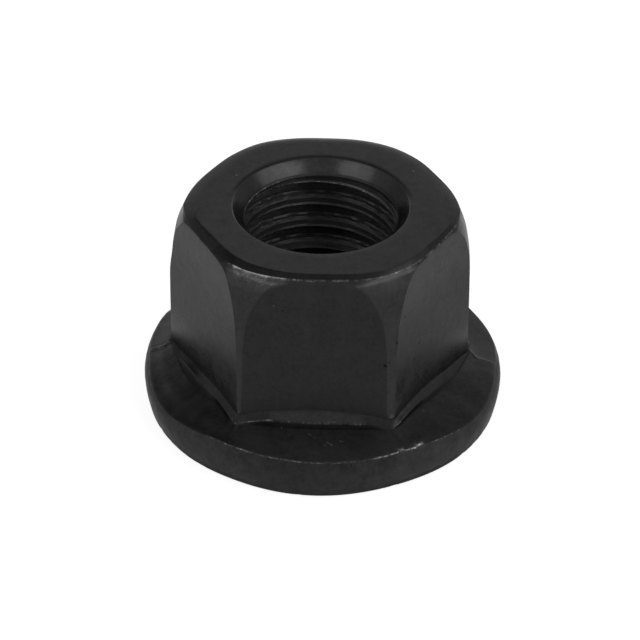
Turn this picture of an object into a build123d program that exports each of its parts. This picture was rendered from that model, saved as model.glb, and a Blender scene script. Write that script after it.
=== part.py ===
from build123d import *
from math import asin, atan2, cos, degrees, pi, radians, tan
import os

# Tall serrated flange nut, cold forged in one piece: a hexagon whose corners curve in under the
# top, a small ledge round its foot, a flange falling away in six faces to a barrelled rim, a
# countersunk bore, and a ring of ratchet teeth underneath.
# Millimetres, +Z up along the thread. The origin is the middle of the bearing plane below.

# ---- Hexagon ----
across_flats = 15.0
nut_height = 12.9
corner_radius = 0.6        # of the six upright edges
dome_depth = 4.3           # how far below the top the corners start to curve in
top_edge_drop = 0.32       # height of the bevel round the top face
top_edge_inset = 0.4       # how far the top face stands in from the flats

# ---- Ledge round the foot of the hexagon ----
foot_height = 3.3          # of the foot of the hexagon, where the flange meets it
ledge_width = 0.32
ledge_rise = 0.45

# ---- Flange ----
flange_reach = 1.69        # how far the rim stands out past the corners of the hexagon
widest_height = 1.65       # of the widest part of the rim
rim_foot_inset = 0.1       # of the side at its lower end, from the widest part
lower_edge_radius = 0.3
rim_top_drop = 0.5         # of the side's upper end, below the foot of the hexagon
rim_top_inset = 0.33
flange_slope = 23.0        # degrees, below the middle of each flat
ridge_overrun = 1.65       # how far past the rim the ridges below the corners would die away

# ---- Bore: a thread drawn at its inner diameter ----
thread_diameter = 10.0
thread_depth = 0.7
countersink_angle = 80.0   # included, at both ends, opening to the thread's outer diameter

# ---- Ratchet teeth under the flange ----
tooth_count = 36
tooth_depth = 0.3
tooth_fade_length = 0.7    # over which each gap rises to the smooth outer land
outer_land = 0.15          # between the ends of the gaps and the rim's lower rounding
crest_share = 0.16         # of the pitch, left flat on each tooth
steep_share = 0.08         # of a gap's width, under its steep face
recess_margin = 1.2        # the hollow inside the teeth, outside the countersink
recess_depth = 0.45

# ---- Worked out from the sizes above ----
apothem = across_flats / 2
corner_reach = apothem / cos(pi / 6)
foot_apothem = apothem + ledge_width
ledge_taper = degrees(atan2(ledge_width, ledge_rise))

dome_end = asin((dome_depth - top_edge_drop) / dome_depth)
dome_width = (corner_reach - apothem) / (1 - cos(dome_end))

flange_radius = corner_reach + flange_reach
rim_foot_radius = flange_radius - rim_foot_inset
rim_top_radius = flange_radius - rim_top_inset
rim_top_height = foot_height - rim_top_drop
bearing_radius = rim_foot_radius - lower_edge_radius
ridge_end_radius = flange_radius + ridge_overrun
ridge_end_height = foot_height - (ridge_end_radius - foot_apothem) * tan(radians(flange_slope))

countersink_radius = thread_diameter / 2
minor_radius = countersink_radius - thread_depth
countersink_depth = thread_depth / tan(radians(countersink_angle / 2))
recess_radius = countersink_radius + recess_margin

tooth_outer_radius = bearing_radius - outer_land
fade_start_radius = tooth_outer_radius - tooth_fade_length
gap_angle = 2 * pi / tooth_count * (1 - crest_share)
cut_below = tooth_depth / 8  # how far a cut starts below the crests, clear of its neighbours
cut_end = -cut_below / 2     # floor of a cut where it has left the flange
cut_end_radius = tooth_outer_radius - cut_end * tooth_fade_length / tooth_depth

os.makedirs("parts", exist_ok=True)

# The top of the flange: six faces fall from the foot of the hexagon, and the ridges between
# them fade outwards.
with BuildPart() as flange_top:
    with BuildSketch():
        Circle(ridge_end_radius)
    extrude(amount=ridge_end_height)
    with BuildSketch(Plane.XY.offset(ridge_end_height)):
        Circle(ridge_end_radius)
    with BuildSketch(Plane.XY.offset(foot_height)):
        RegularPolygon(foot_apothem, 6, major_radius=False)
    loft(ruled=True)

# One gap between two teeth, cut outwards along +X. Its steep face is the one that stops the nut
# turning back, and its ramp is the one that leads when the nut is tightened.
with BuildPart() as tooth_gap:
    for radius, floor in (
        (recess_radius - tooth_depth, tooth_depth),
        (fade_start_radius, tooth_depth),
        (cut_end_radius, cut_end),
    ):
        gap_width = gap_angle * radius
        deepest = (steep_share - 0.5) * gap_width
        widening = (floor + cut_below) / tooth_depth * gap_width
        with BuildSketch(Plane.YZ.offset(radius)):
            with BuildLine():
                Polyline(
                    (deepest, floor),
                    (deepest - steep_share * widening, -cut_below),
                    (deepest + (1 - steep_share) * widening, -cut_below),
                    close=True,
                )
            make_face()
    loft(ruled=True)

with BuildPart() as nut:
    # Flange, turned with a barrelled rim and a rounded lower edge.
    with BuildSketch(Plane.XZ):
        with BuildLine():
            widest = (flange_radius, widest_height)
            rim_foot = (rim_foot_radius, lower_edge_radius)
            rim_top = (rim_top_radius, rim_top_height)
            TangentArc(widest, rim_foot, tangent=(0, -1))
            TangentArc((bearing_radius, 0), rim_foot, tangent=(1, 0))
            TangentArc(widest, rim_top, tangent=(0, 1))
            Polyline(
                rim_top,
                (rim_top_radius, foot_height),
                (0, foot_height),
                (0, 0),
                (bearing_radius, 0),
            )
        make_face()
    revolve(axis=Axis.Z)
    add(flange_top.part, mode=Mode.INTERSECT)

    # Ledge round the foot, running on into the hexagon.
    with BuildSketch(Plane.XY.offset(foot_height)):
        RegularPolygon(foot_apothem, 6, major_radius=False)
    extrude(amount=2 * ledge_rise, taper=ledge_taper)

    # Hexagon with rounded upright edges.
    with BuildSketch():
        hexagon = RegularPolygon(apothem, 6, major_radius=False)
        fillet(hexagon.vertices(), corner_radius)
    extrude(amount=nut_height)

    # Corners curved in under the top, and the bevel round the top face.
    with BuildSketch(Plane.XZ):
        with BuildLine():
            dome = EllipticalCenterArc(
                (corner_reach - dome_width, nut_height - dome_depth),
                dome_width,
                dome_depth,
                start_angle=0,
                arc_size=degrees(dome_end),
            )
            Polyline(
                dome @ 1,
                (apothem - top_edge_inset, nut_height),
                (corner_reach, nut_height),
                dome @ 0,
            )
        make_face()
    revolve(axis=Axis.Z, mode=Mode.SUBTRACT)

    # Bore, countersunk at both ends, and the hollow inside the teeth.
    with BuildSketch(Plane.XZ):
        with BuildLine():
            Polyline(
                (0, nut_height),
                (countersink_radius, nut_height),
                (minor_radius, nut_height - countersink_depth),
                (minor_radius, recess_depth + countersink_depth),
                (countersink_radius, recess_depth),
                (recess_radius, recess_depth),
                (recess_radius, 0),
                (0, 0),
                close=True,
            )
        make_face()
    revolve(axis=Axis.Z, mode=Mode.SUBTRACT)

    # Ratchet teeth, with a flat crest on +X.
    with PolarLocations(0, tooth_count, start_angle=180 / tooth_count):
        add(tooth_gap.part, mode=Mode.SUBTRACT)

nut.part.label = "nut"
export_step(nut.part, "parts/nut.step")
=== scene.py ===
"""Tall serrated flange nut in black-finished steel, on a pale studio floor.

Sizes are in millimetres in the mesh code and turned into metres where a mesh is made.
"""

import math

import bmesh
import bpy
from bpy.props import FloatProperty, FloatVectorProperty, IntProperty, PointerProperty
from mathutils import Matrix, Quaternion, Vector, noise


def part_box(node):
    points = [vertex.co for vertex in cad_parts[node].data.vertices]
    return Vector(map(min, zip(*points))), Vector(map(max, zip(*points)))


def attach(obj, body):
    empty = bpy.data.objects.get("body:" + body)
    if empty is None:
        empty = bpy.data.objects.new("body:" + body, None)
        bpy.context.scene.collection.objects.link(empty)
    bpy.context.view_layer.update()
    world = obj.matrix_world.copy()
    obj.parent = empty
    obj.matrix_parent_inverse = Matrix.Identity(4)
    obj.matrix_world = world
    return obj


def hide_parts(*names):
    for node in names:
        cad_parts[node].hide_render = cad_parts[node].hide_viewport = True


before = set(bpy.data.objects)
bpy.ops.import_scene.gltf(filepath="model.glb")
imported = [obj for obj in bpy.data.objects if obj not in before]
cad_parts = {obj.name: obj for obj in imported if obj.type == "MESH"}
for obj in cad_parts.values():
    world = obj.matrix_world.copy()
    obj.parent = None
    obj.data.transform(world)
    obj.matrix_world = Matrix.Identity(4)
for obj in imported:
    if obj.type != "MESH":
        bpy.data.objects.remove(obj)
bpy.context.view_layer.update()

bl_info = {
    "name": "Serrated Flange Nut",
    "version": (1, 0, 0),
    "blender": (4, 5, 0),
    "location": "3D View > Sidebar > Flange Nut",
    "description": "Makes a tall serrated flange nut and a plain studio around it",
    "category": "Add Mesh",
}

MM = 0.001
SIXTH = math.pi / 3
NUT_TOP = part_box("nut")[1].z / MM


# ==== Settings ====

def length(name, description, millimetres):
    """A length property, shown in the scene's unit and held in metres."""
    return FloatProperty(name=name, description=description, default=millimetres * MM,
                         min=0.0, precision=5, subtype="DISTANCE", unit="LENGTH")


def share(name, description, value):
    return FloatProperty(name=name, description=description, default=value,
                         min=0.0, max=1.0, subtype="FACTOR")


def grey(name, description, level):
    return FloatVectorProperty(name=name, description=description, subtype="COLOR",
                               size=4, min=0.0, max=1.0, default=(level, level, level, 1.0))


class NutSizes(bpy.types.PropertyGroup):
    across_flats: length("Across Flats", "Width of the hexagon", 15.0)
    height: length("Height", "From the bearing plane to the top face", NUT_TOP)
    flange_radius: length("Flange Radius", "At the widest part of the rim", 10.38)
    thread_diameter: length("Thread Diameter", "Outer diameter of the thread", 10.0)
    thread_pitch: length("Thread Pitch", "Rise of the thread in one turn", 1.5)
    thread_depth: length("Thread Depth", "From crest to root", 0.7)
    tooth_count: IntProperty(name="Teeth", description="Ratchet teeth under the flange",
                             default=36, min=6)
    tooth_depth: length("Tooth Depth", "Depth of the gaps between the teeth", 0.3)


class NutFinish(bpy.types.PropertyGroup):
    black: grey("Black Finish", "Colour of the black coating", 0.0205)
    bare: grey("Bare Steel", "Colour where the coating has worn through", 0.33)
    roughness: share("Roughness", "Roughness of the coating", 0.28)
    wear: share("Wear", "How far the edges have worn to bare steel", 0.5)
    seed: IntProperty(name="Seed", description="Which pattern of wear and nicks", default=7)


class StudioLook(bpy.types.PropertyGroup):
    floor: grey("Floor", "Colour of the floor", 0.9)
    lamp_power: FloatProperty(name="Lamp Power", description="Power of each soft lamp",
                              default=0.055, min=0.0, unit="POWER")
    camera_distance: length("Camera Distance", "From the middle of the nut", 155.86)


# ==== The nut's section at one angle, a closed ring of points ====

OUTSIDE, RIM, COUNTERSINK, THREAD = range(4)

RIM_WIDEST_HEIGHT = 1.63
RIM_FOOT_RADIUS = 10.19
RIM_EDGE_RADIUS = 0.3
RIM_TOP_RADIUS = 10.153
RIM_TOP_HEIGHT = 2.5125
RIM_WAVE = 0.158
# How far off centre the flange was forged, the radius where that begins, and a height above it.
FLANGE_OFFSET = Vector((0.18, 0.02, 0.0))
FLANGE_START = 8.9
FLANGE_CEILING = 4.0

# The six flats and corners from angle 0 on, which the forging left a little uneven.
FLAT_OFFSETS = (0.0, 0.0, 0.1, -0.1, 0.0, 0.0)
CORNER_SOFTNESS = (0.05, 0.3, 0.3, 0.05, 0.2, 0.37)
CORNER_FULLNESS = (-0.02, 0.0, 0.0, 0.13, 0.0, 0.0)

# Radius to which the corners are turned, against the depth below the top face.
TURNED = (
    (0.53, 7.88), (0.8, 7.99), (1.33, 8.12), (2.0, 8.25), (2.7, 8.36), (3.4, 8.42),
    (4.1, 8.46), (4.9, 8.48), (5.9, 8.50), (7.0, 8.51), (13.0, 8.52),
)

# Bevel round the top face, in front and behind: angle, inner radius, outer radius, drop.
BEVEL = (
    (-180, 7.36, 7.74, 0.28), (-170, 7.20, 7.60, 0.24), (-160, 6.98, 7.46, 0.25),
    (-150, 6.82, 7.34, 0.27), (-140, 6.87, 7.42, 0.25), (-130, 7.03, 7.50, 0.22),
    (-120, 7.12, 7.56, 0.20), (-110, 7.10, 7.49, 0.18), (-100, 7.05, 7.40, 0.15),
    (-90, 7.00, 7.36, 0.12), (-80, 7.06, 7.39, 0.14), (-70, 7.27, 7.55, 0.18),
    (-60, 7.40, 7.64, 0.20), (-50, 7.36, 7.60, 0.20), (-40, 7.25, 7.48, 0.20),
    (-30, 7.16, 7.42, 0.20), (-20, 7.30, 7.50, 0.17), (-10, 7.50, 7.70, 0.17),
    (0, 7.60, 7.81, 0.20),
)
BACK_BEVEL = ((0, 7.60, 7.81, 0.20), (15, 7.32, 7.60, 0.24), (30, 7.08, 7.40, 0.18),
              (45, 7.24, 7.55, 0.20), (60, 7.38, 7.63, 0.20), (75, 7.33, 7.57, 0.22),
              (90, 7.17, 7.40, 0.22), (105, 7.31, 7.55, 0.22), (120, 7.39, 7.64, 0.20),
              (135, 7.18, 7.50, 0.20), (150, 6.98, 7.31, 0.17), (165, 7.08, 7.46, 0.22),
              (180, 7.36, 7.74, 0.28))

# Ledge round the foot: angle, height of its top, then how far out and how high its lip is,
# and the same for where it meets the flange. The back half mirrors it.
LEDGE = (
    (-180, 3.14, 0.04, 3.11, 0.06, 3.08), (-175, 3.20, 0.28, 3.13, 0.32, 3.08),
    (-168, 3.31, 0.38, 3.18, 0.42, 3.07), (-161, 3.40, 0.40, 3.30, 0.60, 2.97),
    (-152, 3.46, 0.39, 3.29, 0.70, 2.93), (-146, 3.56, 0.37, 3.34, 0.66, 2.95),
    (-140, 3.62, 0.35, 3.38, 0.50, 3.05), (-135, 3.64, 0.33, 3.42, 0.36, 3.15),
    (-128, 3.59, 0.33, 3.38, 0.35, 3.14), (-123, 3.54, 0.33, 3.24, 0.35, 3.08),
    (-120, 3.60, 0.25, 3.12, 0.28, 3.00), (-117, 3.74, 0.26, 3.28, 0.28, 3.16),
    (-112, 3.92, 0.28, 3.44, 0.30, 3.22), (-107, 4.03, 0.30, 3.53, 0.33, 3.22),
    (-101, 4.10, 0.30, 3.44, 0.36, 3.18), (-88, 4.19, 0.30, 3.41, 0.38, 3.16),
    (-78, 4.10, 0.30, 3.45, 0.35, 3.16), (-73, 4.02, 0.29, 3.42, 0.33, 3.16),
    (-68, 3.90, 0.18, 3.36, 0.24, 3.14), (-62, 3.64, 0.19, 3.16, 0.22, 3.05),
    (-60, 3.55, 0.20, 3.10, 0.22, 3.02), (-57, 3.46, 0.28, 3.25, 0.29, 3.08),
    (-52, 3.58, 0.30, 3.36, 0.31, 3.16), (-44, 3.69, 0.30, 3.40, 0.32, 3.15),
    (-36, 3.67, 0.30, 3.29, 0.40, 3.06), (-26, 3.58, 0.30, 3.13, 0.46, 2.96),
    (-18, 3.42, 0.30, 3.04, 0.42, 2.93), (-13, 3.35, 0.29, 3.01, 0.33, 2.95),
    (-6, 3.28, 0.18, 3.04, 0.20, 3.01), (0, 3.14, 0.02, 3.10, 0.04, 3.06),
)

# Height of the rim's upper edge round the front half: angle, height. Behind, it is a plain wave.
RIM_EDGE = (
    (-180, 2.67), (-172, 2.60), (-165, 2.42), (-158, 2.22), (-152, 2.16), (-146, 2.18),
    (-140, 2.30), (-134, 2.38), (-128, 2.47), (-122, 2.52), (-116, 2.51), (-104, 2.48),
    (-92, 2.43), (-80, 2.44), (-68, 2.47), (-62, 2.50), (-56, 2.46), (-50, 2.39),
    (-44, 2.33), (-38, 2.22), (-32, 2.18), (-26, 2.17), (-20, 2.27), (-14, 2.43),
    (-8, 2.58), (0, 2.67),
)

# Stretches round the nut that are worn, or where light and shade are painted into the colour:
# from, to and how softly they end, in degrees, then how strongly.
RIM_RUBBED = ((-126, -96, 4, 0.64), (-96, -76, 6, 0.46), (-70, -55, 5, 0.8),
              (-54, -40, 6, 0.42), (20, 100, 20, 0.6), (135, 165, 12, 0.65))
RIM_BRUISED = ((-62, -53, 2, 1.0), (-118, -118, 3, 0.3), (65, 65, 7, 0.7), (152, 152, 9, 0.7))
# Painted light and painted shade on the flange.
FLANGE_PAINTED_LIGHT = ((-3, -3, 20, 0.9), (-170, -170, 42, 0.95))
FLANGE_PAINTED_SHADE = ((-143, -143, 24, 0.62), (-119, -119, 20, 0.42), (-70, -70, 14, 0.1),
                 (-42, -42, 18, 0.15))
LEDGE_RUBBED = ((-118, -107, 2, 0.85), (-106, -72, 3, 0.62), (-57, -57, 3, 0.72))
LEDGE_CORNERS = ((-120, -120, 1.6, 1.0), (-60, -60, 1.2, 0.8))
# The corner edges and rubbed corners are worn, and are also painted lighter on the corner strips
# and the dome.
CORNER_EDGES = ((-120, -120, 1.4, 1.0), (-60, -60, 1.8, 1.0))
CORNERS_RUBBED = ((-125, -104, 5, 1.0), (-68, -50, 5, 0.66), (0, 0, 12, 0.75),
                  (180, 180, 12, 0.75), (60, 60, 14, 0.6), (120, 120, 14, 0.6))
TOP_LINE_RUBBED = ((-104, -70, 3, 0.74), (-48, -12, 4, 0.68), (-178, -126, 4, 0.5),
                   (135, 172, 8, 0.6))
BORE_LIP_RUBBED = ((-165, -105, 14, 1.0), (-75, -20, 14, 0.8))
# Painted highlights on the flange.
FLANGE_GLEAMS = ((-90, -90, 18, 0.3), (-10, -10, 14, 0.15))
# Stretches where the rim's foot stands in, and where its widest part stands out.
RIM_FOOT_DENTS = ((-63, -63, 28, 0.13), (-118, -118, 22, 0.08))
RIM_SWELLS = ((28, 28, 30, -0.13), (150, 150, 30, 0.05))

# Rows of points down each part of the section.
RIM_ROWS, FLANGE_ROWS, FLAT_ROWS, DOME_ROWS = 8, 14, 7, 15
ARCH_HALVINGS = 30

# The rim's upper edge: how far below it the side ends, and how far in the top starts.
RIM_BREAK = 0.05
EDGE_ROUNDING = 0.055
# The side ridges: where they start and lie, their bead's half width and its height on the right
# and the left, and the groove beside the left one.
RIDGE_START = 8.7
RIDGES = ((0, 0, 14, 1.0), (180, 180, 14, 1.0))
BEAD_HALF = 0.15
BEAD_HEIGHTS = (0.035, 0.06)
GROOVE_AT, GROOVE_HALF = 0.24, 0.12
RECESS_RADIUS = 6.2
RECESS_DEPTH = 0.45
TEETH_OUTER_RADIUS = 9.8
TEETH_FADE = 0.7
CREST_SHARE = 0.16
STEEP_SHARE = 0.08
COUNTERSINK_SLOPE = math.tan(math.radians(40))
# The thread: width of its crests, and how far below the countersink it reaches its full depth.
CREST_WIDTH = 0.47
RUNOUT = 0.5
# Row of the thread's shape that is the lower edge of the crest.
CREST_EDGE_ROW = 2
# How far below the arched end of a flat its shading begins to turn towards the corners.
ARCH_BLEND = 0.22
# Lowest place of that arched end, and the least height of the flat below it and the dome above.
ARC_LOWEST = 3.9
FLAT_LEAST = 0.2
DOME_LEAST = 0.03
# Height of the middle of one crest of the thread at the back of the bore.
THREAD_PHASE_HEIGHT = 11.85

# Points of the mesh closer than this are joined, and edges sharper than this stay crisp.
WELD = 0.0002
SHARP_ANGLE = math.radians(24)


def mix(a, b, t):
    return a + (b - a) * t


def smooth(x, start=0.0, span=1.0):
    """0 up to start, rising softly to 1 over span."""
    t = min(max((x - start) / span, 0.0), 1.0)
    return t * t * (3 - 2 * t)


def within(angle, start, end, soft):
    """1 between two angles given in degrees, falling to 0 over soft degrees beyond them."""
    turn = (math.degrees(angle) - start) % 360
    span = end - start
    if turn <= span:
        return 1.0
    return smooth(1 - min(turn - span, 360 - turn) / soft)


def around(angle, centre, soft):
    return within(angle, centre, centre, soft)


def strengths(angle, stretches):
    return (strength * within(angle, *stretch) for *stretch, strength in stretches)


def strongest(angle, stretches):
    return max(strengths(angle, stretches))


def total(angle, stretches):
    return sum(strengths(angle, stretches))


def curve(points, x):
    """Values at x of the smooth curve through points, each of x and its values."""
    last = len(points) - 2
    i = next((i for i in range(last) if x < points[i + 1][0]), last)
    before, a, b = points[max(i - 1, 0)], points[i], points[i + 1]
    after = points[min(i + 2, last + 1)]
    span = b[0] - a[0]
    t = min(max((x - a[0]) / span, 0.0), 1.0)
    values = []
    for p, q, r, s in zip(before[1:], a[1:], b[1:], after[1:]):
        start = (r - p) / (b[0] - before[0]) * span
        end = (s - q) / (after[0] - a[0]) * span
        values.append(q * (1 + 2 * t) * (1 - t) ** 2 + start * t * (1 - t) ** 2
                      + r * t * t * (3 - 2 * t) - end * t * t * (1 - t))
    return values


def point(radius, height, wear=0.0, tone_and_shading=1.0, surface=OUTSIDE, turn=0.0):
    """A point of the section. Its shading darkens or lightens the coating's colour as painted
    light and shade; turn moves it round.
    """
    return radius, height, wear, tone_and_shading, surface, turn


def half_turn(angle):
    """The angle in degrees, from -180 up to 180."""
    return (math.degrees(angle) + 180) % 360 - 180


class Section:
    """Works out the points of the nut's section for any angle."""

    def __init__(self, sizes, seed):
        self.apothem = sizes.across_flats / MM / 2
        self.top = sizes.height / MM
        self.flange = sizes.flange_radius / MM
        self.major = sizes.thread_diameter / MM / 2
        self.minor = self.major - sizes.thread_depth / MM
        self.pitch = sizes.thread_pitch / MM
        self.teeth = sizes.tooth_count
        self.tooth_depth = sizes.tooth_depth / MM
        self.cone_depth = (self.major - self.minor) / COUNTERSINK_SLOPE
        self.seed = seed

    def ragged(self, angle, radius, height, grain, channel=0):
        """Smooth noise from -1 to 1 on the surface, whose lumps are about grain wide."""
        place = Vector((radius * math.cos(angle), radius * math.sin(angle), height)) / grain
        return noise.noise(place + Vector((self.seed, 17.3 * channel, 5.1)))

    def hexagon(self, angle, outset=0.0):
        """Distance from the axis to the hexagon let out by outset, at an angle."""
        flat = int(angle // SIXTH) % 6
        own = angle % SIXTH - SIXTH / 2
        beside = (flat + (1 if own > 0 else -1)) % 6
        corner = (flat + 1) % 6 if own > 0 else flat
        first = (self.apothem + FLAT_OFFSETS[flat] + outset) / math.cos(own)
        second = (self.apothem + FLAT_OFFSETS[beside] + outset) / math.cos(SIXTH - abs(own))
        soft = CORNER_SOFTNESS[corner]
        near = max(0.0, 1 - abs(first - second) / soft)
        return min(first, second) - near * near * soft / 4

    # -- underside --
    def tooth_height(self, angle, radius):
        """Height of the toothed face above the bearing plane."""
        place = angle / (2 * math.pi) * self.teeth % 1.0
        crest = CREST_SHARE / 2
        gap = 1 - CREST_SHARE
        if place <= crest or place >= 1 - crest:
            return 0.0
        along = (place - crest) / gap
        if along < STEEP_SHARE:
            depth = self.tooth_depth * along / STEEP_SHARE
        else:
            depth = self.tooth_depth * (1 - along) / (1 - STEEP_SHARE)
        fade = (radius - (TEETH_OUTER_RADIUS - TEETH_FADE)) / TEETH_FADE
        return max(0.0, depth - self.tooth_depth * max(0.0, fade))

    def underside(self, angle):
        yield point(self.major, RECESS_DEPTH, 0.5)
        yield point(RECESS_RADIUS, RECESS_DEPTH, 0.2)
        fade_start = TEETH_OUTER_RADIUS - TEETH_FADE
        for radius in (RECESS_RADIUS + 0.01, 7.1, 8.0, fade_start, fade_start + TEETH_FADE / 2,
                       TEETH_OUTER_RADIUS):
            height = self.tooth_height(angle, radius)
            yield point(radius, height, 0.62 if height == 0 else 0.2)

    # -- rim --
    def rim_foot(self, angle):
        """Radius of the rim's foot, which is a little uneven at the front."""
        return RIM_FOOT_RADIUS - total(angle, RIM_FOOT_DENTS)

    def rim_side(self, angle, height):
        """Radius of the barrelled rim at a height."""
        widest = self.flange + total(angle, RIM_SWELLS)
        if height < RIM_WIDEST_HEIGHT:
            part = (RIM_WIDEST_HEIGHT - height) / (RIM_WIDEST_HEIGHT - RIM_EDGE_RADIUS)
            return widest - (widest - self.rim_foot(angle)) * part ** 2
        part = (height - RIM_WIDEST_HEIGHT) / (RIM_TOP_HEIGHT - RIM_WIDEST_HEIGHT)
        return widest - (self.flange - RIM_TOP_RADIUS) * part ** 2

    def rim_edge(self, angle):
        """Height of the rim's upper edge, how worn it is there, and how nicked."""
        turn = half_turn(angle)
        if turn <= 0:
            height = curve(RIM_EDGE, turn)[0]
        else:
            height = RIM_TOP_HEIGHT + RIM_WAVE * math.cos(6 * angle)
        height += 0.02 * self.ragged(angle, self.flange, 0, 0.9)
        lump = self.ragged(angle, self.flange, 3, 0.42, 1) + 0.25
        nick = max(0.0, lump) * strongest(angle, RIM_BRUISED)
        return height, strongest(angle, RIM_RUBBED), nick

    def rim(self, angle):
        # Painted light: the rim's colour is lighter on its rounded foot and towards the foot of
        # its side, a painted reflection of the floor, and lighter round the sides than at the
        # front, painted highlights; low at the front right it is less light.
        centre = self.rim_foot(angle) - RIM_EDGE_RADIUS
        for step in range(5):
            turn = math.pi / 2 * step / 4
            chip = max(0.0, self.ragged(angle, self.flange, step / 3, 0.5, 2) - 0.2)
            yield point(centre + (RIM_EDGE_RADIUS - 0.1 * chip) * math.sin(turn),
                        RIM_EDGE_RADIUS * (1 - math.cos(turn)), 0.2, 1.2, RIM)
        edge_height, _, nick = self.rim_edge(angle)
        last = edge_height - RIM_BREAK
        aside = 1 - around(angle, -92, 50)
        rim_top_shading = 1.0 + 0.55 * aside
        rim_foot_shading = 1.35 + 0.6 * aside - 0.6 * around(angle, -14, 24)
        for step in range(1, RIM_ROWS + 1):
            part = step / RIM_ROWS
            height = mix(RIM_EDGE_RADIUS, last, part)
            radius = self.rim_side(angle, height)
            radius -= 0.016 * (1 + self.ragged(angle, radius, height, 0.6, 3))
            worn = 0.0
            if step == RIM_ROWS:
                radius -= 0.12 * nick
                worn = min(0.5, nick)
            yield point(radius, height, worn, mix(rim_foot_shading, rim_top_shading, part), RIM,
                        self.ridge_turn(angle, self.flange) * part)

    def ridge_turn(self, angle, radius):
        """How far a point moves round so that the side ridges swing towards the front."""
        out = radius - RIDGE_START
        if abs(half_turn(angle)) < 90:
            swing = -3.4 * smooth(out / 0.45) - 0.8 * max(0.0, out - 0.45)
        else:
            swing = 2.0 * smooth(out / 0.4)
        return math.radians(swing) * strongest(angle, RIDGES)

    def seam(self, angle, radius):
        """The bead along a side ridge, where the forging tools met, its groove, and the painted
        shadow in that groove.
        """
        from_side = abs((angle + math.pi / 2) % math.pi - math.pi / 2)
        right = math.cos(angle) > 0
        reach = from_side * radius
        swell = 1 + 0.7 * self.ragged(0.0 if right else math.pi, radius, 7, 0.5)
        bead = max(0.0, 1 - (reach / BEAD_HALF) ** 2) * BEAD_HEIGHTS[not right] * swell
        groove = 0.0 if right else smooth(1 - abs(reach - GROOVE_AT) / GROOVE_HALF)
        return bead, groove, groove * smooth(swell - 0.9)

    def flange_top(self, angle):
        """From the rim's top edge in to the ledge."""
        edge_height, rubbed, nick = self.rim_edge(angle)
        edge = Vector((self.rim_side(angle, edge_height) - 0.01, edge_height))
        last = edge_height - RIM_BREAK
        below = Vector((self.rim_side(angle, last) - 0.015, last))
        foot = Vector(next(self.ledge(angle))[:2])
        inward = (foot - edge).normalized()
        inside = edge + inward * EDGE_ROUNDING
        # Painted light and shade: the flange's colour is lighter towards the sides and in the
        # lighter stretches and gleams, darker in the darker stretches, darker near the ledge away
        # from the sides, and darker in the groove beside the left ridge.
        side = abs(math.cos(angle)) ** 1.5
        light = mix(1.1, 1.3, side) + strongest(angle, FLANGE_PAINTED_LIGHT)
        light *= 1 - strongest(angle, FLANGE_PAINTED_SHADE)
        light *= 1 + total(angle, FLANGE_GLEAMS)
        for t in (0.35, 1.0):
            place = below * (1 - t) ** 2 + edge * 2 * t * (1 - t) + inside * t ** 2
            yield point(place.x - 0.14 * nick, place.y - 0.08 * nick,
                        mix(0.3, 1.0, rubbed), light,
                        turn=self.ridge_turn(angle, place.x))
        worn = min(1.0, nick * 2.5)
        rows = [(0.04, 0.8), (0.1, 0.35)]
        rows += [((row - 0.2) / (FLANGE_ROWS - 0.2), 0.0) for row in range(2, FLANGE_ROWS)]
        for t, keep in rows:
            place = inside.lerp(foot, t)
            lump = self.ragged(angle, place.x, 0, 0.8, 4)
            bead, groove, groove_shadow = self.seam(angle, place.x)
            shade = light * mix(1.0, 0.55, groove_shadow)
            shade *= mix(1.0, 0.72, smooth(t, 0.9, 0.1) * (1 - side))
            yield point(place.x - 0.12 * nick * keep,
                        place.y + bead - 0.02 * groove + 0.007 * lump - 0.1 * nick * keep,
                        max(0.55 if bead > 0.012 else 0.05, (worn + 0.2 * rubbed) * keep),
                        shade, turn=self.ridge_turn(angle, place.x))

    # -- ledge and foot --
    def ledge(self, angle):
        top, lip_out, lip, foot_out, foot = curve(LEDGE, -abs(half_turn(angle)))
        lump = 0.014 * self.ragged(angle, 8, 3, 0.5, 5)
        side = smooth(lip - foot, 0.1, 0.12)
        at_corner = strongest(angle, LEDGE_CORNERS)
        front = within(angle, -106, -72, 3)
        bright = max(0.95 * at_corner, strongest(angle, LEDGE_RUBBED), 0.3 * side)
        grain = 0.3 * front + 0.1
        lighter = mix(1.0, 1.35, front)
        # Painted light and shade: the ledge's colour is darker below its lip where the lip stands
        # out at the sides, darker in the crease where it meets the flat, and lighter on its sloped
        # band at the front.
        for out, height, wear, tone_and_shading in (
            (foot_out, foot, 0.05, mix(0.9, 0.35, side)),
            (mix(foot_out, lip_out, 0.7), mix(foot, lip, 0.45), 0.05, mix(0.9, 0.3, side)),
            (lip_out + lump * side, lip - 0.035 * side, bright, mix(1.0, 0.8, side)),
            (lip_out - 0.03 * side, lip + 0.01 * side, bright, 1.0),
            (lip_out * 0.8, mix(lip, top, 0.16), grain + 0.35 * at_corner, lighter),
            (lip_out * 0.55, mix(lip, top, 0.40), grain, lighter),
            (lip_out * 0.30, mix(lip, top, 0.66), grain, lighter),
            (lip_out * 0.12, mix(lip, top, 0.86), 0.1, 1.05),
            (0.008, top, 0.1, 0.6),
            (0.0, top + 0.06, 0.0, 0.9),
        ):
            yield point(self.hexagon(angle, out), height + 0.6 * lump, wear, tone_and_shading)

    # -- hexagon and turned corners --
    def bevel(self, angle):
        """Inner radius, outer radius and drop of the bevel round the top face."""
        turn = half_turn(angle)
        return curve(BEVEL if turn <= 0 else BACK_BEVEL, turn)

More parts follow.
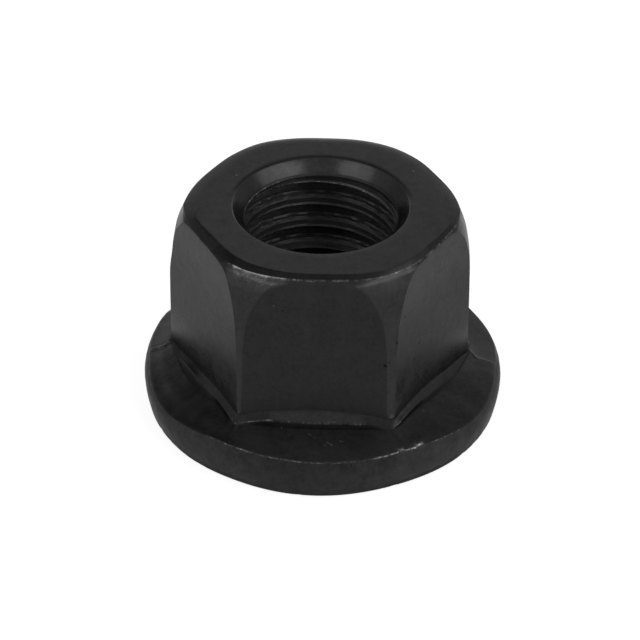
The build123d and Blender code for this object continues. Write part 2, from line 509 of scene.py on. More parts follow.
    def turned_radius(self, angle, height):
        _, outer, drop = self.bevel(angle)
        depth = self.top - height
        fuller = CORNER_FULLNESS[round(angle / SIXTH) % 6] * smooth(depth, 3.0, 2.0)
        fuller += 0.04 * around(angle, 0, 25) * smooth(depth, 0.8, 0.7)
        fuller -= 0.12 * around(angle, 180, 25) * (1 - smooth(depth, 0.7, 0.9))
        behind = max(around(angle, 150, 32), around(angle, 30, 32))
        fuller -= 0.28 * behind * (1 - smooth(depth, 0.5, 1.4))
        first, radius = TURNED[0]
        if depth < first:
            part = (depth - drop) / (first - drop)
            return mix(outer, radius + fuller, part * (1.58 - 0.58 * part))
        return curve(TURNED, depth)[0] + fuller

    def arc_height(self, angle):
        """Height at which the turned corners cut into the hexagon."""
        flat = self.hexagon(angle)
        low, high = ARC_LOWEST, self.top - self.bevel(angle)[2] - DOME_LEAST
        for _ in range(ARCH_HALVINGS):
            middle = (low + high) / 2
            if self.turned_radius(angle, middle) > flat:
                low = middle
            else:
                high = middle
        return (low + high) / 2

    def top_wear(self, angle, depth):
        """Wear on the side of the nut at a depth below the bevel."""
        corner = strongest(angle, CORNERS_RUBBED)
        line = max(0.2, strongest(angle, TOP_LINE_RUBBED))
        ragged = (0.12 * self.ragged(angle, 7.5, 12.6, 0.7, 8)
                  + 0.3 * self.ragged(angle, 7.5, 12.6, 0.22, 9))
        patch = corner * (1.22 + 0.9 * ragged - (0.64 + 0.7 * ragged) * smooth(depth / 0.1)
                          - 0.1 * smooth(depth, 0.15, 0.6)
                          - 0.3 * smooth(depth, 0.6, 1.0))
        return max(patch, (line + ragged) * (1 - smooth(depth, 0.04, 0.09)))

    def body(self, angle):
        start = list(self.ledge(angle))[-1][1]
        band = self.top - self.bevel(angle)[2]
        arc = min(max(self.arc_height(angle), start + FLAT_LEAST), band - DOME_LEAST)
        flat = self.hexagon(angle)
        edge = strongest(angle, CORNER_EDGES)
        for step in range(1, FLAT_ROWS + 1):
            height = mix(start, arc - ARCH_BLEND, step / FLAT_ROWS)
            # Painted light: the flats' colour is lightened low down, where they reflect the dark
            # flange, and high up, but not on the front flat; the corner strips are painted lighter
            # too.
            painted_lift = 2.2 * smooth((5.9 - height) / 2.2) + 0.8 * smooth(height, 8.5, 3)
            painted_lift *= 1 - within(angle, -119, -61, 1)
            yield point(flat, height, 0.42 * edge, mix(1.05, 1.3, edge) + painted_lift)
        for step in range(DOME_ROWS + 1):
            height = mix(arc, band, 1 - (1 - step / DOME_ROWS) ** 1.7)
            radius = min(self.turned_radius(angle, height), flat)
            depth = band - height
            low = 0.42 * edge * smooth((9.0 - height) / 2)
            # Painted light and shade: the dome is painted lighter than the flats and darker just
            # under the bevel, and lighter where the corners are rubbed, partly real wear and
            # partly a painted highlight.
            tone_and_shading = 1.45 - 0.3 * smooth(1 - depth / 0.8)
            tone_and_shading += 0.95 * strongest(angle, CORNERS_RUBBED) * (1 - smooth(depth, 0.25, 0.8))
            yield point(radius, height, max(low, self.top_wear(angle, depth)), tone_and_shading)

    # -- top --
    def top_face(self, angle):
        inner, outer, drop = self.bevel(angle)
        # Painted light and shade: the bevel round the top is darker at the front and lighter
        # behind, and the top face is painted lighter.
        front = within(angle, -165, -15, 12)
        inner -= 0.7 * (1 - front)
        bend = mix(2.2, 1.1, front)
        dark = mix(1.4, 0.8 - 0.1 * around(angle, -90, 40) + 0.25 * around(angle, -50, 20), front)
        for t in (0.04, 0.35, 0.7, 0.97):
            yield point(mix(outer, inner, t), self.top - drop * (1 - t) ** bend,
                        0.0, dark)
        yield point(inner - 0.05, self.top, 0.0, 1.45)
        for t in (0.12, 0.45, 0.8):
            yield point(mix(inner, self.major, t), self.top, 0.0, 1.45)
        # Painted shade and light: the bore's lip is darker behind than in front, and the
        # countersink is lighter behind than at its sides.
        lip = max(0.25, strongest(angle, BORE_LIP_RUBBED))
        shade = mix(1.4, 0.6, within(angle, 20, 160, 15))
        yield point(self.major + 0.05, self.top, 0.1, shade)
        yield point(self.major + 0.015, self.top - 0.012, 0.9 * lip, shade)
        yield point(self.major - 0.02, self.top - 0.035, 0.9 * lip, shade, COUNTERSINK)
        back = around(angle, 90, 75)
        for t, tone_and_shading in ((0.1, 1.1), (0.35, 1.1), (0.6, 1.1), (0.85, 0.95)):
            tone_and_shading *= mix(0.5 - 0.2 * around(angle, 10, 40), 1.1, back)
            yield point(mix(self.major, self.minor, t), self.top - self.cone_depth * t,
                        0.0, tone_and_shading, COUNTERSINK)

    # -- bore --
    def thread_shape(self):
        """One turn of the thread, row by row: its cut, its place, how torn, wear, and painted
        light and shade in its colour.
        """
        crest = CREST_WIDTH / 2
        depth = self.major - self.minor
        flank = depth * math.tan(SIXTH / 2)
        low = crest - self.pitch
        return (
            # Painted light: the rows down the flank and in the root are painted lightest, standing
            # in for light in the thread's hollows.
            (0.0, crest - 0.02, 0.0, 0.15, 1.4),
            (0.0, 0.15 - crest, 0.0, 0.2, 1.5),
            (-0.055, 0.05 - crest, 0.015, 0.66, 1.1),
            (-0.03, -crest - 0.01, 0.0, 0.4, 1.1),
            (depth / 2, -crest - flank / 2, 0.0, 0.0, 2.2),
            (depth, -crest - flank, 0.0, 0.0, 3.0),
            (depth, low + flank, 0.0, 0.1, 3.0),
            (depth * 0.68, low + flank * 0.68, 0.035, 0.15, 1.6),
            (depth * 0.56, low + flank * 0.62 + 0.01, 0.035, 0.62, 1.3),
            (depth * 0.40, low + flank * 0.40, 0.035, 0.15, 1.1),
            (depth * 0.24, low + flank * 0.28 + 0.01, 0.035, 0.58, 1.0),
            (depth * 0.12, low + flank * 0.10, 0.035, 0.15, 0.9),
        )

    def thread_finish(self, angle, row, below, torn, wear, tone_and_shading):
        """Wear, and painted light and shade, of a row of the thread at a depth below the
        countersink.
        """
        aside = 1 - around(angle, 90, 28)
        near_top = smooth((1.05 - below) / 0.5)
        deep = smooth(below, 1.5, 5)
        if row == CREST_EDGE_ROW:
            wear *= (1 + 0.6 * torn) * mix(mix(0.5, 1.0, aside), 1.5, near_top)
        else:
            wear *= (1 + 0.55 * torn) * aside * smooth(below / RUNOUT)
            # Painted light and shade: darker at the back, and much lighter near the top away from
            # the back.
            tone_and_shading *= mix(0.55, 1.0, aside) * mix(1.0, 2.0, near_top * aside)
        wear *= mix(1.0, 0.8, deep) * smooth(below, 0.02, 0.15)
        mouth = 0.95 * around(angle, 160, 80) * (1 - smooth(below / 0.12))
        # Painted shading: it fades to 0.8 at the countersink's edge and is a little lighter deep
        # down.
        tone_and_shading = mix(0.8, tone_and_shading, smooth(below / 0.35)) * mix(1.0, 1.1, deep)
        return max(0.0, wear, mouth), tone_and_shading

    def thread(self, angle):
        """From the top countersink down the thread to the bottom one, on a right-hand helix."""
        low_edge = RECESS_DEPTH + self.cone_depth
        high_edge = self.top - self.cone_depth
        turns_up = math.ceil((self.top - THREAD_PHASE_HEIGHT) / self.pitch)
        turns = turns_up + math.ceil(THREAD_PHASE_HEIGHT / self.pitch) + 1
        first = THREAD_PHASE_HEIGHT + turns_up * self.pitch
        first += self.pitch * (angle - math.pi / 2) / (2 * math.pi)
        shape = self.thread_shape()
        for turn in range(turns):
            for row, (cut, offset, tear, wear, tone_and_shading) in enumerate(shape):
                level = first - turn * self.pitch + offset
                height = min(max(level, RECESS_DEPTH), high_edge)
                below = high_edge - level
                torn = self.ragged(angle, 4.5, 1.3 * level + 3.1 * row, 0.5, 7)
                radius = self.minor + (cut + tear * torn) * smooth(below / RUNOUT)
                low_cone = self.minor + (low_edge - height) * COUNTERSINK_SLOPE
                if low_cone > radius:
                    yield point(low_cone, height, surface=COUNTERSINK)
                else:
                    finish = self.thread_finish(angle, row, below, torn, wear, tone_and_shading)
                    yield point(radius, height, *finish, THREAD)

    def ring(self, angle):
        """The whole section at an angle, from under the flange round to the foot of the bore."""
        for part in (self.underside, self.rim, self.flange_top, self.ledge, self.body,
                     self.top_face, self.thread):
            yield from part(angle)


def column_angles(teeth):
    """Angles of the mesh's columns: on every edge of a tooth, and closer at the corners."""
    crest = CREST_SHARE / 2
    steep = crest + STEEP_SHARE * (1 - CREST_SHARE)
    end = 1 - crest

    def spread(start, stop, count):
        return [mix(start, stop, (step + 1) / count) for step in range(count)]

    after_corner = [0, crest / 2, crest, (crest + steep) / 2, steep] + spread(steep, 0.25, 2)
    after_corner += spread(0.25, end, 9) + [(end + 1) / 2]
    before_corner = [0, crest, steep] + spread(steep, 0.70, 6) + spread(0.70, end, 5)
    before_corner += [mix(end, 1, 1 / 3), mix(end, 1, 2 / 3)]
    between = [0, crest, steep] + spread(steep, end, 9)
    angles = []
    for tooth in range(teeth):
        in_sector = tooth % 6
        places = after_corner if in_sector == 0 else before_corner if in_sector == 5 else between
        angles += [2 * math.pi * (tooth + place) / teeth for place in places]
    return angles + [2 * math.pi]


def flange_share(radius, height):
    """How far a point moves with the flange, which was forged a little off centre."""
    if height > FLANGE_CEILING or radius < RECESS_RADIUS:
        return 0.0
    return smooth(radius, FLANGE_START)


def nut_mesh(sizes, finish):
    section = Section(sizes, finish.seed)
    mesh = bpy.data.meshes.new("nut_forged")
    build = bmesh.new()
    wear_layer = build.verts.layers.float.new("wear")
    # Each point carries its wear and its painted light and shade.
    shading_layer = build.verts.layers.float.new("tone_and_shading")
    columns = []
    surfaces = []
    for angle in column_angles(section.teeth):
        columns.append([])
        surfaces.append([])
        for radius, height, wear, tone_and_shading, surface, turn in section.ring(angle):
            place = Vector((radius * math.cos(angle + turn), radius * math.sin(angle + turn),
                            height))
            place += FLANGE_OFFSET * flange_share(radius, height)
            vertex = build.verts.new(place * MM)
            vertex[wear_layer] = wear
            vertex[shading_layer] = tone_and_shading
            columns[-1].append(vertex)
            surfaces[-1].append(surface)
    for left, right, kinds in zip(columns, columns[1:], surfaces):
        for row in range(len(left)):
            above = (row + 1) % len(left)
            face = build.faces.new((left[row], right[row], right[above], left[above]))
            face.material_index = kinds[above]
            face.smooth = True
    bmesh.ops.remove_doubles(build, verts=build.verts, dist=WELD * MM)
    bmesh.ops.dissolve_degenerate(build, edges=build.edges, dist=WELD / 2 * MM)
    bmesh.ops.recalc_face_normals(build, faces=build.faces)
    build.to_mesh(mesh)
    build.free()
    mesh.set_sharp_from_angle(angle=SHARP_ANGLE)
    return mesh


# ==== Materials ====

class Nodes:
    """Short ways to add nodes to a tree and feed them."""

    def __init__(self, tree):
        self.tree = tree

    def add(self, kind, sockets=None, **settings):
        """A shader node with its settings, and links or values for its input sockets."""
        node = self.tree.nodes.new("ShaderNode" + kind)
        for name, value in settings.items():
            setattr(node, name, value)
        for name, value in (sockets or {}).items():
            self.feed(node.inputs[name], value)
        return node

    def feed(self, socket, value):
        if isinstance(value, bpy.types.NodeSocket):
            self.tree.links.new(value, socket)
        else:
            socket.default_value = value

    def math(self, operation, first, second, clamp=False):
        node = self.add("Math", {0: first, 1: second}, operation=operation, use_clamp=clamp)
        return node.outputs["Value"]

    def times(self, first, second):
        return self.math("MULTIPLY", first, second)

    def plus(self, first, second):
        return self.math("ADD", first, second)

    def minus(self, first, second):
        return self.math("SUBTRACT", first, second)

    def vector(self, operation, first, second, result="Vector"):
        other = "Scale" if operation == "SCALE" else 1
        node = self.add("VectorMath", {0: first, other: second}, operation=operation)
        return node.outputs[result]

    def ramp(self, value, low, high, start, end):
        """From start to end as the value goes from low to high."""
        sockets = {"Value": value, "From Min": low, "From Max": high, "To Min": start,
                   "To Max": end}
        return self.add("MapRange", sockets, interpolation_type="SMOOTHSTEP").outputs["Result"]

    def blend(self, factor, first, second, kind="FLOAT", **settings):
        sockets = {"Factor": factor, "A": first, "B": second}
        return self.add("Mix", sockets, data_type=kind, **settings).outputs["Result"]

    def noise(self, place, scale, detail=2.0, roughness=0.5):
        sockets = {"Vector": place, "Scale": scale, "Detail": detail, "Roughness": roughness}
        return self.add("TexNoise", sockets).outputs["Fac"]

    def uneven(self, place, scale, strength, detail=1.0, roughness=0.5):
        """Noise about zero."""
        return self.times(self.minus(self.noise(place, scale, detail, roughness), 0.5), strength)

    def painted(self, name):
        """A value that the mesh carries at its points."""
        return self.add("Attribute", attribute_name=name).outputs["Fac"]

    def millimetres(self):
        """The place on the nut, in millimetres."""
        place = self.add("TexCoord").outputs["Object"]
        return self.vector("MULTIPLY", place, (1 / MM,) * 3)

    def finish(self, shader, kind="OutputMaterial"):
        self.add(kind, {"Surface": shader})

    def finish_seen(self, seen, hidden, shown, kind="OutputMaterial"):
        """Finish with the shown shader for the rays in seen, and the hidden one for the rest."""
        choose = self.add("MixShader", {"Fac": seen, 1: hidden, 2: shown})
        self.finish(choose.outputs["Shader"], kind)


def emptied(owner):
    """The nodes of a material or a world, with none in it yet."""
    owner.use_nodes = True
    owner.node_tree.nodes.clear()
    return Nodes(owner.node_tree)


def new_group(name, inputs, outputs):
    """A shader node group with inputs (name, default number or vector) and number outputs."""
    group = bpy.data.node_groups.new(name, "ShaderNodeTree")
    for socket, default in inputs:
        kind = "NodeSocketFloat" if isinstance(default, float) else "NodeSocketVector"
        made = group.interface.new_socket(socket, in_out="INPUT", socket_type=kind)
        made.default_value = default
    for socket in outputs:
        group.interface.new_socket(socket, in_out="OUTPUT", socket_type="NodeSocketFloat")
    given = group.nodes.new("NodeGroupInput").outputs
    return Nodes(group), given, group.nodes.new("NodeGroupOutput").inputs


def edge_wear_group():
    """Bare steel where the coating has rubbed off, ragged at the scale of the grain."""
    nodes, given, out = new_group(
        "Edge Wear", (("Amount", 0.5), ("Grain Scale", 6.0), ("Softness", 0.75)), ("Bare",))
    place = nodes.millimetres()
    level = nodes.painted("wear")
    for scale, strength in ((0.35, 0.6), (1.0, 0.65), (2.3, 0.65)):
        grain = nodes.times(given["Grain Scale"], scale)
        level = nodes.plus(level, nodes.uneven(place, grain, strength))
    edge = nodes.minus(0.85, nodes.times(given["Amount"], 0.8))
    rubbed = nodes.math("DIVIDE", nodes.minus(level, edge), given["Softness"], True)
    nodes.feed(out["Bare"], nodes.math("POWER", rubbed, 2.4))
    return nodes.tree


def coating_group():
    """Cloudy tone, fine grain and height of a black oxide coating on forged steel; its tone is
    multiplied by the painted light and shade that the mesh carries.
    """
    nodes, given, out = new_group(
        "Black Oxide Coating", (("Cloud Scale", 0.7), ("Mottle Scale", 3.2),
                                ("Grain Scale", 9.0), ("Contrast", 0.4)),
        ("Tone And Shading", "Roughness Shift", "Metal Shift", "Height"))
    place = nodes.millimetres()
    clouds = nodes.noise(place, given["Cloud Scale"], 3.0, 0.55)
    mottle = nodes.noise(place, given["Mottle Scale"], 3.0, 0.6)
    drawn = nodes.noise(nodes.vector("MULTIPLY", place, (1.0, 1.0, 0.3)), 3.4)
    grain = nodes.noise(place, given["Grain Scale"], 1.0)
    total = clouds
    for part, strength in ((mottle, 0.9), (drawn, 0.2), (grain, 0.5)):
        total = nodes.plus(total, nodes.times(part, strength))
    varied = nodes.times(nodes.minus(total, 1.3), given["Contrast"])
    nodes.feed(out["Tone And Shading"], nodes.times(nodes.plus(varied, 1.0), nodes.painted("tone_and_shading")))
    rougher = nodes.ramp(clouds, 0.3, 0.7, -0.02, 0.03)
    nodes.feed(out["Roughness Shift"],
               nodes.plus(rougher, nodes.ramp(mottle, 0.3, 0.7, -0.015, 0.015)))
    patches = nodes.times(given["Mottle Scale"], 0.6)
    nodes.feed(out["Metal Shift"], nodes.uneven(place, patches, 0.5, 3.0, 0.65))
    lumps = nodes.noise(place, nodes.times(given["Mottle Scale"], 0.5), 1.0)
    nodes.feed(out["Height"], nodes.plus(nodes.times(grain, 0.05), lumps))
    return nodes.tree


def specks_group():
    """Small pits, darker in colour, and small bright nicks."""
    nodes, given, out = new_group(
        "Pits And Nicks", (("Pit Density", 0.3), ("Nick Density", 0.2), ("Cell Size", 0.9)),
        ("Pits", "Nicks"))
    place = nodes.millimetres()
    scale = nodes.math("DIVIDE", 1.0, given["Cell Size"])
    wobble = nodes.uneven(place, 9.0, 0.12)
    for name, density, shift, wide in (("Pits", "Pit Density", 0.0, 0.1),
                                       ("Nicks", "Nick Density", 12.9, 0.07)):
        moved = nodes.vector("ADD", place, (shift,) * 3)
        cells = nodes.add("TexVoronoi", {"Vector": moved, "Scale": scale}).outputs
        lot = nodes.add("SeparateColor", {"Color": cells["Color"]}).outputs
        chosen = nodes.math("LESS_THAN", lot["Red"], given[density])
        size = nodes.times(nodes.ramp(lot["Green"], 0.0, 1.0, 0.35, 1.0), wide)
        far = nodes.plus(cells["Distance"], wobble)
        spot = nodes.ramp(far, nodes.times(size, 0.4), size, 1.0, 0.0)
        nodes.feed(out[name], nodes.times(spot, chosen))
    return nodes.tree


def mark_group():
    """A mark of some width between two places in millimetres, uneven at its edges."""
    nodes, given, out = new_group(
        "Mark", (("Start", (0.0, 0.0, 0.0)), ("End", (1.0, 0.0, 0.0)), ("Width", 0.05)),
        ("Mask",))
    place = nodes.millimetres()
    line = nodes.vector("SUBTRACT", given["End"], given["Start"])
    from_start = nodes.vector("SUBTRACT", place, given["Start"])
    reach = nodes.vector("DOT_PRODUCT", from_start, line, "Value")
    whole = nodes.math("MAXIMUM", nodes.vector("DOT_PRODUCT", line, line, "Value"), 0.0001)
    along = nodes.math("DIVIDE", reach, whole, True)
    nearest = nodes.vector("ADD", given["Start"], nodes.vector("SCALE", line, along))
    wobble = nodes.uneven(place, 7.0, given["Width"], 2.0)
    far = nodes.plus(nodes.vector("DISTANCE", place, nearest, "Value"), wobble)
    core = nodes.times(given["Width"], 0.35)
    nodes.feed(out["Mask"], nodes.ramp(far, core, given["Width"], 1.0, 0.0))
    return nodes.tree


# Marks from handling: start, end, width, strength.
SCRATCHES = (
    ((-1.81, -7.93, 3.12), (-1.80, -7.95, 3.12), 0.06, 0.5),
    ((-0.31, -8.29, 3.03), (-0.14, -8.38, 2.99), 0.06, 0.14),
    ((-0.02, -8.47, 2.96), (0.12, -8.53, 2.94), 0.06, 0.10),
    ((0.80, -8.78, 2.85), (1.06, -8.96, 2.79), 0.07, 0.16),
    ((0.67, -8.97, 2.78), (0.68, -8.98, 2.78), 0.07, 0.16),
    ((1.46, -8.69, 2.88), (1.66, -8.69, 2.88), 0.06, 0.14),
    ((-8.12, -5.78, 2.39), (-7.61, -5.37, 2.60), 0.05, 0.10),
    ((6.09, -5.81, 3.03), (6.10, -5.81, 3.03), 0.09, 0.13),
    ((6.51, -5.72, 2.92), (6.53, -5.73, 2.92), 0.08, 0.09),
    ((5.16, -7.80, 2.89), (5.31, -7.93, 2.84), 0.05, 0.45),
    ((5.31, -7.93, 2.84), (5.60, -7.97, 2.78), 0.05, 0.42),
    ((-4.08, -7.50, 8.21), (-4.06, -7.50, 8.21), 0.06, 0.16),
    ((-2.26, -7.50, 11.08), (-2.24, -7.50, 11.10), 0.05, 0.14),
    ((-4.94, 2.78, 12.90), (-4.90, 2.76, 12.90), 0.07, 0.3),
    ((5.11, 3.75, 12.90), (5.15, 3.73, 12.90), 0.06, 0.25),
    ((-3.55, 4.26, 12.90), (-3.50, 4.24, 12.90), 0.05, 0.15),
)
PITS = (
    ((4.87, -6.57, 9.96), (4.87, -6.57, 9.90), 0.10),
    ((4.50, -7.20, 8.66), (4.50, -7.22, 8.60), 0.10),
    ((3.88, -7.50, 7.29), (3.88, -7.50, 7.27), 0.13),
    ((4.15, -7.50, 7.44), (4.15, -7.50, 7.42), 0.13),
    ((5.72, -5.10, 7.19), (5.72, -5.10, 7.17), 0.10),
    ((5.47, -5.53, 6.39), (5.47, -5.53, 6.37), 0.09),
    ((-3.28, -7.50, 12.42), (-3.26, -7.50, 12.40), 0.07),
)
COATING_IOR = 1.2
NICK_BRIGHTNESS = 0.25
PIT_SHADE = 0.25
BARE_ROUGHNESS = 0.42
# Depths in shares of the bump's own distance.
PIT_DEPTH = 2.5
WORN_DEPTH = 0.3


def placed_marks(nodes, tree, marks):
    """The strongest of a list of marks at each place."""
    total = 0.0
    for start, end, width, *strength in marks:
        sockets = {"Start": start, "End": end, "Width": width}
        mask = nodes.add("Group", sockets, node_tree=tree).outputs["Mask"]
        if strength:
            mask = nodes.times(mask, strength[0])
        total = nodes.math("MAXIMUM", mask, total)
    return total


def steel_material(name, groups, finish, look):
    """Black-coated steel: look holds what differs between the nut's surfaces."""
    material = bpy.data.materials.new(name)
    nodes = emptied(material)
    coating, wear, specks = (nodes.add("Group", look[part], node_tree=groups[part]).outputs
                             for part in ("coating", "wear", "specks"))
    place = nodes.millimetres()

    bare = nodes.math("MAXIMUM", wear["Bare"], nodes.times(specks["Nicks"], NICK_BRIGHTNESS))
    pits = specks["Pits"]
    if look["marked"]:
        bare = nodes.math("MAXIMUM", bare, placed_marks(nodes, groups["mark"], SCRATCHES))
        pits = nodes.math("MAXIMUM", pits, placed_marks(nodes, groups["mark"], PITS))
    dimmed = nodes.times(coating["Tone And Shading"], nodes.blend(pits, 1.0, PIT_SHADE))
    tone_and_shading = nodes.add("CombineColor", dict.fromkeys(("Red", "Green", "Blue"), dimmed))
    # Painted light: the coating's colour carries the mesh's painted light and shade, and look's
    # shade makes it lighter on the countersink and the thread.
    black = [value * look["shade"] for value in finish.black[:3]] + [1]
    black = nodes.blend(1.0, black, tone_and_shading.outputs["Color"], "RGBA", blend_type="MULTIPLY")
    metal = nodes.plus(coating["Metal Shift"], look["metal"])
    rough = nodes.plus(coating["Roughness Shift"], finish.roughness + look["rougher"])

    height = nodes.times(coating["Height"], look["relief"])
    for stretch, depth in look["lines"]:
        drawn = nodes.noise(nodes.vector("MULTIPLY", place, stretch), 1.0, 2.0, 0.6)
        height = nodes.plus(height, nodes.times(drawn, depth))
    for mask, depth in ((pits, PIT_DEPTH), (bare, WORN_DEPTH)):
        height = nodes.minus(height, nodes.times(mask, depth))
    bump = nodes.add("Bump", {"Strength": 1.0, "Distance": look["bump"] * MM, "Height": height})
    shader = nodes.add("BsdfPrincipled", {
        "Base Color": nodes.blend(bare, black, list(finish.bare), "RGBA"),
        "Metallic": nodes.blend(bare, metal, 1.0),
        "Roughness": nodes.blend(bare, rough, BARE_ROUGHNESS),
        "IOR": COATING_IOR,
        "Specular Tint": (look["graze"],) * 3 + (1.0,),
        "Normal": bump.outputs["Normal"],
    })
    nodes.finish(shader.outputs["BSDF"])
    return material


def nut_materials(finish):
    groups = {"coating": coating_group(), "wear": edge_wear_group(), "specks": specks_group(),
              "mark": mark_group()}
    outside = {
        "shade": 1.0, "metal": 0.62, "graze": 0.6, "rougher": 0.0, "relief": 1.0, "bump": 0.0035,
        "coating": {"Cloud Scale": 0.8, "Mottle Scale": 3.6, "Contrast": 0.6},
        "wear": {"Amount": finish.wear, "Grain Scale": 5.5, "Softness": 0.8},
        "specks": {"Pit Density": 0.10, "Nick Density": 0.02, "Cell Size": 0.9},
        "lines": (), "marked": True,
    }
    rim = dict(outside, graze=0.4, rougher=0.12, relief=1.6, bump=0.018, marked=False,
               coating={"Cloud Scale": 0.9, "Mottle Scale": 3.0, "Contrast": 0.9},
               specks={"Pit Density": 0.35, "Nick Density": 0.2, "Cell Size": 0.7})
    # The countersink's and the thread's coating is painted lighter by shade, standing in for light
    # in those hollows.
    cone = dict(outside, shade=1.75, rougher=-0.08, relief=0.5, bump=0.006, marked=False,
                specks={"Pit Density": 0.06, "Nick Density": 0.05, "Cell Size": 0.8},
                lines=(((0.5, 0.5, 14.0), 0.4),))
    thread = dict(outside, shade=1.3, rougher=0.14, relief=1.5, bump=0.02, marked=False,
                  wear={"Amount": finish.wear, "Grain Scale": 4.0, "Softness": 0.75},
                  specks={"Pit Density": 0.2, "Nick Density": 0.05, "Cell Size": 0.6},
                  lines=(((0.6, 0.6, 9.0), 1.0),))
    return [steel_material(name, groups, finish, look) for name, look in (
        ("black_oxide", outside), ("forged_rim", rim), ("turned_countersink", cone),
        ("tapped_thread", thread))]


# ==== Studio ====

CAMERA_ELEVATION = math.radians(34.36)
CAMERA_AZIMUTH = math.radians(2.11)
CAMERA_CENTRE = Vector((0.0, 0.0, 7.7))
CAMERA_AIM = Vector((0.0, 0.0, 4.95))
CAMERA_ROLL = 0.0088
CAMERA_LENS = 153.6

LAMP_DISTANCE = 200
LAMP_HEIGHT = 100
# The soft lamps: name, direction, width, share of the lamp power.
LAMPS = (
    ("lamp_right", (0.70, -0.38, 0.60), 225, 2.9),
    ("lamp_left", (-0.61, -0.46, 0.64), 130, 1.15),
)

ROOM_LIGHT = 0.62
# The soft ceiling: how steep its fade starts and ends, and its level at each.
CEILING = (0.6, 0.9, 1.06, 1.0)
FLOOR_RADIUS = 2000
# The floor as it is seen: its grey under the lamps, and its glow in metal and to the camera.
SEEN_FLOOR = (0.3, 0.3, 0.3, 1.0)
FLOOR_GLOW = (0.78, 0.85)
# Dark openings between the soft panels: direction, cosines of its edge and core, level.
DARK_OPENINGS = (
    ((-0.34, 0.48, 0.81), 0.94, 0.985, 0.08),
    ((0.33, 0.50, 0.80), 0.95, 0.99, 0.4),
    ((0.0, -0.69, 0.72), 0.93, 0.98, 0.55),
)


def placed(name, data):
    """A new object in the scene."""
    thing = bpy.data.objects.new(name, data)
    bpy.context.scene.collection.objects.link(thing)
    return thing


def seen_rays(nodes):
    """Camera rays, and all that show the studio: those, and rays off metal or through glass."""
    path = nodes.add("LightPath").outputs
    seen = nodes.math("MAXIMUM", path["Is Camera Ray"], path["Is Glossy Ray"])
    return path["Is Camera Ray"], nodes.math("MAXIMUM", seen, path["Is Transmission Ray"])


def studio_floor(look):
    mesh = bpy.data.meshes.new("studio_floor")
    build = bmesh.new()
    bmesh.ops.create_circle(build, cap_ends=True, segments=96, radius=FLOOR_RADIUS * MM)
    build.to_mesh(mesh)
    build.free()
    material = bpy.data.materials.new("pale_floor")
    nodes = emptied(material)
    camera, seen = seen_rays(nodes)
    plain = nodes.add("BsdfDiffuse", {"Color": look.floor})
    shown = nodes.add("BsdfDiffuse", {"Color": SEEN_FLOOR})
    glow = nodes.add("Emission", {"Strength": nodes.blend(camera, *FLOOR_GLOW)})
    both = nodes.add("AddShader", {0: shown.outputs["BSDF"], 1: glow.outputs["Emission"]})
    nodes.finish_seen(seen, plain.outputs["BSDF"], both.outputs["Shader"])
    mesh.materials.append(material)
    placed("studio_floor", mesh)


def studio_world():
    world = bpy.data.worlds.new("studio")
    bpy.context.scene.world = world
    nodes = emptied(world)
    toward_sky = nodes.add("TexCoord").outputs["Generated"]
    split = nodes.add("SeparateXYZ", {"Vector": toward_sky})
    ceiling = nodes.ramp(split.outputs["Z"], *CEILING)
    for direction, low, high, level in DARK_OPENINGS:
        centre = Vector(direction).normalized()
        near = nodes.vector("DOT_PRODUCT", toward_sky, centre, "Value")
        ceiling = nodes.times(ceiling, nodes.ramp(near, low, high, 1.0, level))
    camera, seen = seen_rays(nodes)
    room = nodes.add("Background", {"Strength": ROOM_LIGHT})
    shown = nodes.add("Background", {"Strength": nodes.blend(camera, ceiling, 1.0)})
    nodes.finish_seen(seen, room.outputs["Background"], shown.outputs["Background"],
                      "OutputWorld")


def soft_lamp(name, direction, width, power):
    """A soft lamp that faces the nut."""
    data = bpy.data.lights.new(name, "AREA")
    data.shape = "RECTANGLE"
    data.size = width
    data.size_y = LAMP_HEIGHT * MM
    data.energy = power
    lamp = placed(name, data)
    centre = Vector((0, 0, NUT_TOP / 2)) * MM
    lamp.location = centre + Vector(direction).normalized() * LAMP_DISTANCE * MM
    lamp.rotation_euler = (centre - lamp.location).to_track_quat("-Z", "Y").to_euler()


def studio_camera(look):
    data = bpy.data.cameras.new("camera")
    data.sensor_width = 36.0
    data.lens = CAMERA_LENS
    data.clip_start = 0.01
    data.clip_end = 20.0
    camera = placed("camera", data)
    back = Vector((
        math.sin(CAMERA_AZIMUTH) * math.cos(CAMERA_ELEVATION),
        -math.cos(CAMERA_AZIMUTH) * math.cos(CAMERA_ELEVATION),
        math.sin(CAMERA_ELEVATION),
    ))
    place = CAMERA_CENTRE * MM + back * look.camera_distance
    turn = (CAMERA_AIM * MM - place).to_track_quat("-Z", "Y")
    camera.location = place
    camera.rotation_euler = (turn @ Quaternion((0, 0, 1), CAMERA_ROLL)).to_euler()
    bpy.context.scene.camera = camera


# ==== Operators and panel ====

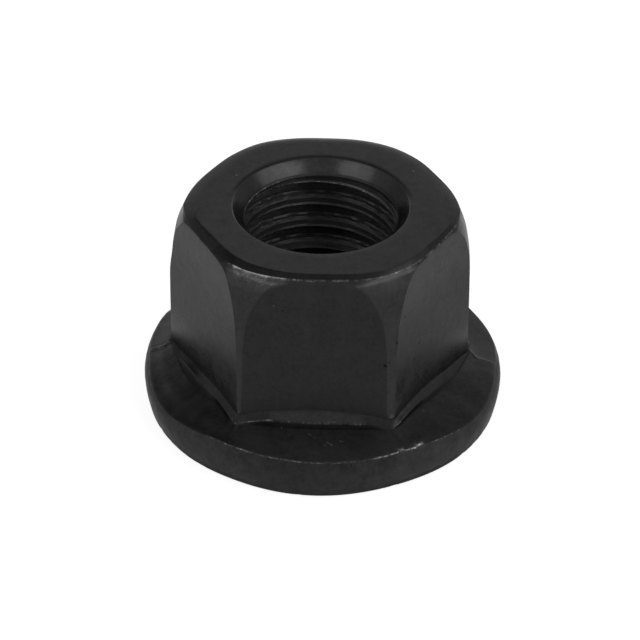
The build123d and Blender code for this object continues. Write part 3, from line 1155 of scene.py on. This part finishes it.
class FLANGENUT_OT_nut(bpy.types.Operator):
    """Make the forged nut with its thread and its teeth"""

    bl_idname = "flange_nut.make_nut"
    bl_label = "Make Nut"

    def execute(self, context):
        sizes = context.scene.flange_nut_sizes
        finish = context.scene.flange_nut_finish
        mesh = nut_mesh(sizes, finish)
        nut = placed("nut_forged", mesh)
        for material in nut_materials(finish):
            mesh.materials.append(material)
        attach(nut, "root")
        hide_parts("nut")
        return {"FINISHED"}


class FLANGENUT_OT_studio(bpy.types.Operator):
    """Make the pale floor, the soft light and the camera"""

    bl_idname = "flange_nut.make_studio"
    bl_label = "Make Studio"

    def execute(self, context):
        look = context.scene.flange_nut_studio
        studio_floor(look)
        studio_world()
        for name, direction, width, part in LAMPS:
            soft_lamp(name, direction, width * MM, look.lamp_power * part)
        studio_camera(look)
        context.scene.view_settings.view_transform = "Standard"
        return {"FINISHED"}


class FLANGENUT_PT_panel(bpy.types.Panel):
    """The nut's settings and what makes each piece"""

    bl_idname = "FLANGENUT_PT_panel"
    bl_label = "Flange Nut"
    bl_space_type = "VIEW_3D"
    bl_region_type = "UI"
    bl_category = "Flange Nut"

    def draw(self, context):
        layout = self.layout
        for group, operator in (
            (context.scene.flange_nut_sizes, None),
            (context.scene.flange_nut_finish, "flange_nut.make_nut"),
            (context.scene.flange_nut_studio, "flange_nut.make_studio"),
        ):
            box = layout.box()
            for name in group.__annotations__:
                box.prop(group, name)
            if operator:
                box.operator(operator)


CLASSES = (NutSizes, NutFinish, StudioLook, FLANGENUT_OT_nut, FLANGENUT_OT_studio,
           FLANGENUT_PT_panel)


def register():
    for cls in CLASSES:
        bpy.utils.register_class(cls)
    bpy.types.Scene.flange_nut_sizes = PointerProperty(type=NutSizes)
    bpy.types.Scene.flange_nut_finish = PointerProperty(type=NutFinish)
    bpy.types.Scene.flange_nut_studio = PointerProperty(type=StudioLook)


def unregister():
    del bpy.types.Scene.flange_nut_studio
    del bpy.types.Scene.flange_nut_finish
    del bpy.types.Scene.flange_nut_sizes
    for cls in reversed(CLASSES):
        bpy.utils.unregister_class(cls)


def main():
    register()
    bpy.ops.flange_nut.make_nut()
    bpy.ops.flange_nut.make_studio()


if __name__ == "__main__":
    main()
